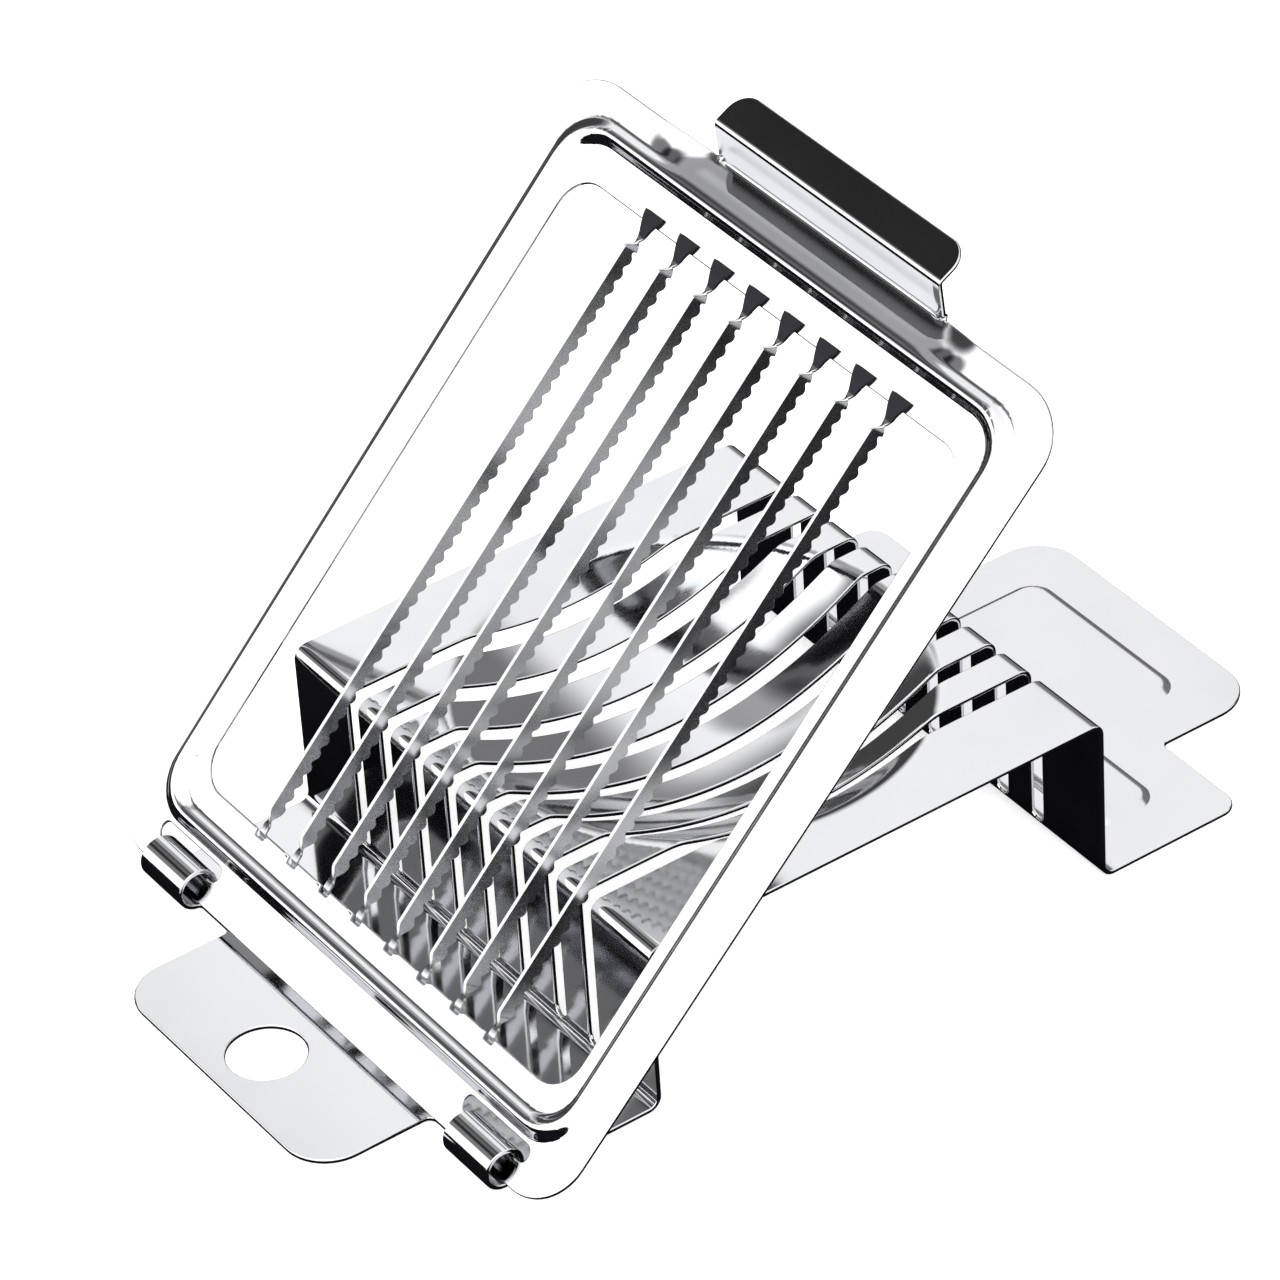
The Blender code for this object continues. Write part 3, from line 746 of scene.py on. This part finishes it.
    def rings(self, lines: Array) -> Array:
        """Points in closed rings from the outer edge to the inside of the bead."""
        side, front, rear = self.bead_insets
        points = []
        for offset in np.linspace(0.35, 3.2, 8) * MM:
            points.append((self.half - offset, self.front + offset, self.rear - offset,
                           self.corner - offset * self.bead_tightens))
        for share in np.linspace(-0.06, 1.06, 20):
            offset = self.bead_width * share
            points.append((self.half - side - offset, self.front + front + offset,
                           self.rear - rear - offset, self.bead_corner - offset * self.bead_tightens))
        loops = []
        for half, low, high, radius in points:
            box = [(half, low), (half, high), (-half, high), (-half, low)]
            loops.append(split_at(split_at(round_corners(box, radius, 14), 0, lines), 1, lines))
        return np.concatenate(loops)

    def form(self, flat: Array, handle: BentStrip) -> Array:
        """Press the blank: bead, dip and flare on the ring, and the handle's side view behind it."""
        x, v = flat.T
        w = self.height(x, v)
        start = self.rear - self.foot_run
        on_handle = (v > start) & (np.abs(x) < self.handle_half + TINY)
        run, rise = handle.place(v - start)
        across = np.clip((np.abs(x) - self.opening_half) / (self.half - self.opening_half), 0.0, 1.0)
        along = (v - self.front) / (self.rear - self.front)
        x = x + np.sign(x) * self.flare * across * np.where(on_handle, 0.0, along)
        return self.hinge.from_flat(x, np.where(on_handle, run, v), np.where(on_handle, rise, w))

    def build(self) -> bpy.types.Object:
        """Stamp, press and thicken the sheet."""
        handle = self.handle()
        start = self.rear - self.foot_run
        lines = np.arange(-60, 121) * 1.1 * MM
        rows = handle.length + start
        columns = lines[np.abs(lines) < self.handle_half - 0.4 * MM]
        grid = np.stack(np.meshgrid(columns, rows), axis=-1).reshape(-1, 2)
        ring = self.rings(lines)
        ring = ring[(ring[:, 1] < start - 0.1 * MM) | (np.abs(ring[:, 0]) > self.handle_half)]
        outline = self.outline(start + handle.length[-1])
        loops = [split_at(split_at(loop, 0, lines), 1, rows) for loop in [outline, *self.holes()]]
        blank = Blank(loops[0], loops[1:], np.concatenate([ring, grid]))
        return blank.pressed("frame_sheet", self.form(blank.points, handle), self.sheet, self.cut_bulge)

    def dress(self, piece: bpy.types.Object) -> None:
        """Polish the sheet and stand it in for the CAD frame."""
        piece.data.materials.append(POLISHED.material((-self.hinge.rest, 0.0, 0.0)))
        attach(piece, "cutter")
        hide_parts("frame")


@dataclass
class BladeSet:
    """Eight strips on edge, toothed below, hooked over the front bar and fanned out behind."""

    hinge: Hinge
    places: Array
    height: float = 2.5 * MM
    thickness: float = 0.45 * MM
    tooth_pitch: float = 1.95 * MM
    tooth_depth: float = 0.6 * MM
    tooth_sharpness: float = 1.4
    grind: float = 0.6 * MM
    opening_front: float = BladeFrame.opening_front
    opening_rear: float = BladeFrame.opening_rear
    twist: float = 3.2 * MM
    pinch: float = 1.6
    lie: float = 0.505 * MM
    fan_shift: float = 0.8 * MM
    fan_width: float = 3.3 * MM
    fan_turn: float = math.radians(90.0)
    fan: tuple[float, float] = (92.8 * MM, 3.2 * MM)
    waist: float = 0.7 * MM
    rear_twist: tuple[float, float] = (90.9 * MM, 93.5 * MM)
    tongue: float = 1.2 * MM
    hook_bend: float = 0.35 * MM
    tail_end: float = 96.0 * MM
    # Where the painted dark reflection on the flat rear ends begins, and how far it takes to fade in.
    painted_reflection_from: float = 92.5 * MM
    painted_reflection_fade: float = 0.6 * MM

    def path(self) -> Array:
        """V and W of the strip's middle: hook, straight run, rise onto the rear bar and flat end."""
        hook = self.opening_front - self.thickness / 2
        rise = np.linspace(0.0, 1.0, 25)
        climb = np.column_stack([self.opening_rear - self.twist * (1 - rise), self.lie * smooth(rise)])
        front = round_corners([(hook - self.tongue, -self.lie), (hook, -self.lie), (hook, 0.0),
                               (hook + 1.0 * MM, 0.0)], self.hook_bend, 6, closed=False)
        flat = np.linspace(self.opening_rear, self.tail_end, 12)[1:]
        tail = np.column_stack([flat, np.full_like(flat, self.lie)])
        climb_from = self.opening_rear - self.twist
        run = np.arange(self.opening_front + 1.0 * MM, climb_from - 0.05 * MM, 0.13 * MM)
        straight = np.column_stack([run, np.zeros_like(run)])
        return np.concatenate([front, straight, climb, tail])

    def sections(self) -> tuple[Array, Array, Array, Array, Array]:
        """The strip along its path: place, turn, half width, tooth height and sideways shift."""
        path = self.path()
        v = path[:, 0]
        hooked = path[:, 1] < -TINY
        front = np.where(hooked, 1.0, smooth((self.opening_front + self.twist - v) / self.twist))
        rear = smooth((v - self.rear_twist[0]) / (self.rear_twist[1] - self.rear_twist[0]))
        straight = (v > self.opening_front + self.twist) & (v < self.rear_twist[0])
        wave = 0.5 - 0.5 * np.cos(2 * math.pi * (v - self.opening_front - self.twist) / self.tooth_pitch)
        tooth = np.where(straight, self.tooth_depth * wave ** self.tooth_sharpness, 0.0)
        half = self.height / 2
        pinched = half - (half - self.waist) * smooth(rear * self.pinch)
        spread = self.waist + (self.fan_width / 2 - self.waist) * smooth((v - self.fan[0]) / self.fan[1])
        rear_half = np.where(v > self.fan[0], spread, pinched)
        half_width = np.where(front > 0, half + (self.tongue / 2 - half) * front, rear_half)
        return path, front * math.pi / 2 + rear * self.fan_turn, half_width, tooth, self.fan_shift * rear

    def build_one(self, number: int, x: float) -> bpy.types.Object:
        """Carry a rounded flat section along the path.

        Each section point is the path's place, plus its height along the turned upright, plus its
        share of the thickness along the turned normal.

        Args:
            number: the strip's number.
            x: its place across.

        Returns:
            The piece.
        """
        path, turn, half, tooth, shift = self.sections()
        tangent = unit(np.gradient(path, axis=0))
        up = np.column_stack([-tangent[:, 1], tangent[:, 0]])
        edge = self.thickness / 2
        # The section, anticlockwise: thickness share, and height share from the toothed edge up.
        thick = np.array([1.0, 1.0, 0.55, -0.55, -1.0, -1.0, -0.25, 0.25]) * edge
        chamfer = np.array([0.34, -0.16, 0.0, 0.0, -0.16, 0.34, 0.0, 0.0]) * self.grind
        top = np.array([0, 1, 1, 1, 1, 0, 0, 0], bool)
        level = np.where(top[None], half[:, None], -half[:, None] + tooth[:, None]) + chamfer[None]
        sin, cos = np.sin(turn)[:, None], np.cos(turn)[:, None]
        across = level * sin + thick[None] * cos + shift[:, None] + x
        out = level * cos - thick[None] * sin
        v = path[:, :1] + out * up[:, :1]
        w = path[:, 1:] + out * up[:, 1:]
        rings, around = level.shape
        start = np.arange(rings - 1)[:, None] * around + np.arange(around)
        after = np.arange(rings - 1)[:, None] * around + (np.arange(around) + 1) % around
        quads = np.stack([start, start + around, after + around, after], axis=-1).reshape(-1, 4)
        ends = [list(range(around)), list(range(rings * around - 1, (rings - 1) * around - 1, -1))]
        points = self.hinge.from_flat(across, v, w).reshape(-1, 3)
        piece = make_piece(f"blade_strip_{number}", points, quads.tolist() + ends)
        # Painted dark reflection on the flat rear ends: the mask rises from 0 to 1 along them.
        share = smooth((path[:, 0] - self.painted_reflection_from) / self.painted_reflection_fade)
        scorch = piece.data.attributes.new("scorch", "FLOAT", "POINT")
        scorch.data.foreach_set("value", np.repeat(share, around).astype(np.float32))
        return piece

    def build(self) -> list[bpy.types.Object]:
        """All the strips, from left to right."""
        return [self.build_one(index + 1, x) for index, x in enumerate(self.places)]

    def dress(self, pieces: list[bpy.types.Object]) -> None:
        """Grind the strips satin and stand each in for its CAD blade."""
        finish = SATIN.material((-self.hinge.rest, 0.0, 0.0))
        for number, piece in enumerate(pieces, 1):
            piece.data.materials.append(finish)
            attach(piece, "cutter")
            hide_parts(f"blade_{number}")


# The studio

@dataclass(frozen=True)
class Flag:
    """A dark cloth far off: its direction, its dark core and soft edge in degrees, and what it leaves."""

    toward: tuple[float, float, float]
    core: float
    edge: float
    leaves: float


@dataclass
class Studio:
    """A pale table, an even white tent that is a little dimmer behind, and dark cards for the steel."""

    floor_size: float = 3.0
    floor_colour: str = "#F7F7F7"
    floor_glow: float = 0.60
    tent_colour: str = "#FFFFFF"
    tent_front: float = 2.1
    tent_back: float = 1.35
    ground_colour: str = "#101014"
    ground_front: float = -1.5
    # In order: for the handle's lip, twice for its ramp, for the left slopes of the beads, and for
    # the sheet that mirrors the far side.
    flags: tuple[Flag, ...] = (
        Flag((-0.655, -0.38, 0.65), 10.0, 15.5, 0.15), Flag((-0.66, -0.12, 0.742), 9.0, 17.0, 0.11),
        Flag((-0.654, 0.18, 0.735), 6.0, 13.0, 0.35), Flag((-1.0, 0.06, -0.02), 25.0, 43.0, 0.05),
        Flag((-0.25, 0.95, 0.10), 30.0, 47.0, 0.2))
    camera_place: tuple[float, float, float] = (0.5460985, -0.3646971, 0.5349096)
    azimuth: float = math.radians(55.92)
    elevation: float = math.radians(37.82)
    roll: float = math.radians(-3.38)
    lens: float = 201.5
    shift: tuple[float, float] = (-0.0644, 0.0245)

    def plane(self, name: str, corners: Array, seen: Visibility) -> bpy.types.Object:
        """A flat card that isn't part of the slicer, seen by the rays that its kind says."""
        mesh = bpy.data.meshes.new(name)
        mesh.from_pydata(np.asarray(corners).tolist(), [], [[0, 1, 2, 3]])
        card = bpy.data.objects.new(name, mesh)
        bpy.context.scene.collection.objects.link(card)
        if seen is Visibility.REFLECTION_ONLY:
            card.visible_camera = False
            card.visible_diffuse = False
            card.visible_shadow = False
            card.visible_transmission = False
        return card

    def matte(self, name: str, colour: str, glow: float) -> bpy.types.Material:
        """A matte paper or cloth that may shine a little by itself, like a light table."""
        made = bpy.data.materials.new(name)
        made.use_nodes = True
        tree = made.node_tree
        tree.nodes.clear()
        shader = add(tree, "ShaderNodeBsdfPrincipled", {
            "Base Color": linear(colour), "Roughness": 1.0, "Specular IOR Level": 0.0,
            "Emission Color": linear(colour), "Emission Strength": glow})
        add(tree, "ShaderNodeOutputMaterial", {"Surface": shader.outputs["BSDF"]})
        return made

    def build(self, low: float) -> None:
        """The floor under the slicer and the dark cloth that only reflections see."""
        half = self.floor_size / 2
        level = low - 0.1 * MM
        square = np.array([(x * half, y * half, level) for x, y in ((-1, -1), (1, -1), (1, 1), (-1, 1))])
        floor = self.plane("floor", square, Visibility.CAMERA_AND_LIGHT)
        floor.data.materials.append(self.matte("white_light_table", self.floor_colour, self.floor_glow))
        cloth = np.maximum(square, (-half, self.ground_front, low - 0.05 * MM))
        ground = self.plane("ground_card", cloth, Visibility.REFLECTION_ONLY)
        ground.data.materials.append(self.matte("black_cloth", self.ground_colour, 0.02))

    def light(self) -> None:
        """The tent: a world whose brightness falls from the front to the back."""
        world = bpy.data.worlds.new("soft_tent")
        world.use_nodes = True
        tree = world.node_tree
        tree.nodes.clear()
        way = add(tree, "ShaderNodeTexCoord").outputs["Generated"]
        facing = add(tree, "ShaderNodeVectorMath", {0: way, 1: (0.0, -1.0, 0.0)}, operation="DOT_PRODUCT")
        power = add(tree, "ShaderNodeMapRange", {
            "Value": facing.outputs["Value"], "From Min": -0.5, "From Max": 0.5,
            "To Min": self.tent_back, "To Max": self.tent_front})
        strength = power.outputs["Result"]
        for flag in self.flags:
            near = add(tree, "ShaderNodeVectorMath", {0: way, 1: Vector(flag.toward).normalized()},
                       operation="DOT_PRODUCT").outputs["Value"]
            shade = add(tree, "ShaderNodeMapRange", {
                "Value": near, "From Min": math.cos(math.radians(flag.edge)),
                "From Max": math.cos(math.radians(flag.core)), "To Min": 1.0, "To Max": flag.leaves},
                interpolation_type="SMOOTHSTEP").outputs["Result"]
            strength = add(tree, "ShaderNodeMath", {0: strength, 1: shade}, operation="MULTIPLY").outputs[0]
        tent = add(tree, "ShaderNodeBackground", {"Color": linear(self.tent_colour), "Strength": strength})
        add(tree, "ShaderNodeOutputWorld", {"Surface": tent.outputs["Background"]})
        bpy.context.scene.world = world

    def photograph(self) -> None:
        """The camera, turned so that it looks down on the slicer from its front right."""
        level = math.cos(self.elevation)
        back = Vector((math.sin(self.azimuth) * level, -math.cos(self.azimuth) * level,
                       math.sin(self.elevation)))
        right = (-back).cross(Vector((0.0, 0.0, 1.0))).normalized()
        up = right.cross(-back)
        turned_right = right * math.cos(self.roll) + up * math.sin(self.roll)
        turned_up = up * math.cos(self.roll) - right * math.sin(self.roll)
        turn = Matrix((turned_right, turned_up, back)).transposed()
        data = bpy.data.cameras.new("camera")
        data.lens = self.lens
        data.sensor_width = 36.0
        data.shift_x, data.shift_y = self.shift
        data.clip_start, data.clip_end = 0.01, 20.0
        camera = bpy.data.objects.new("camera", data)
        camera.matrix_world = Matrix.Translation(self.camera_place) @ turn.to_4x4()
        bpy.context.scene.collection.objects.link(camera)
        bpy.context.scene.camera = camera


def main() -> None:
    """Build the slicer and the studio in order."""
    logging.basicConfig(level=logging.INFO, format="%(name)s: %(message)s")
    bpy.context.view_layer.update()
    joint = next(j for j in frame["joints"] if j["name"] == "frame_hinge")
    hinge = Hinge(joint["pos_m"][1], joint["pos_m"][2])
    low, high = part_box("base")
    base = Base(hinge, half_width=high.x, front_tab=hinge.y - low.y, rear_end=high.y - hinge.y,
                table_height=high.z)
    sheet = base.build()
    base.dress(sheet)
    LOG.info("%s: %d faces", sheet.name, len(sheet.data.polygons))
    places = (np.arange(base.slot_count) - (base.slot_count - 1) / 2) * base.slot_pitch
    ring = BladeFrame(hinge, places)
    pressed = ring.build()
    ring.dress(pressed)
    LOG.info("%s: %d faces", pressed.name, len(pressed.data.polygons))
    blades = BladeSet(hinge, places)
    strips = blades.build()
    blades.dress(strips)
    LOG.info("%d blade strips: %d faces each", len(strips), len(strips[0].data.polygons))
    studio = Studio()
    studio.build(low.z)
    studio.light()
    studio.photograph()
    bpy.context.scene.view_settings.view_transform = "Standard"


if __name__ == "__main__":
    main()
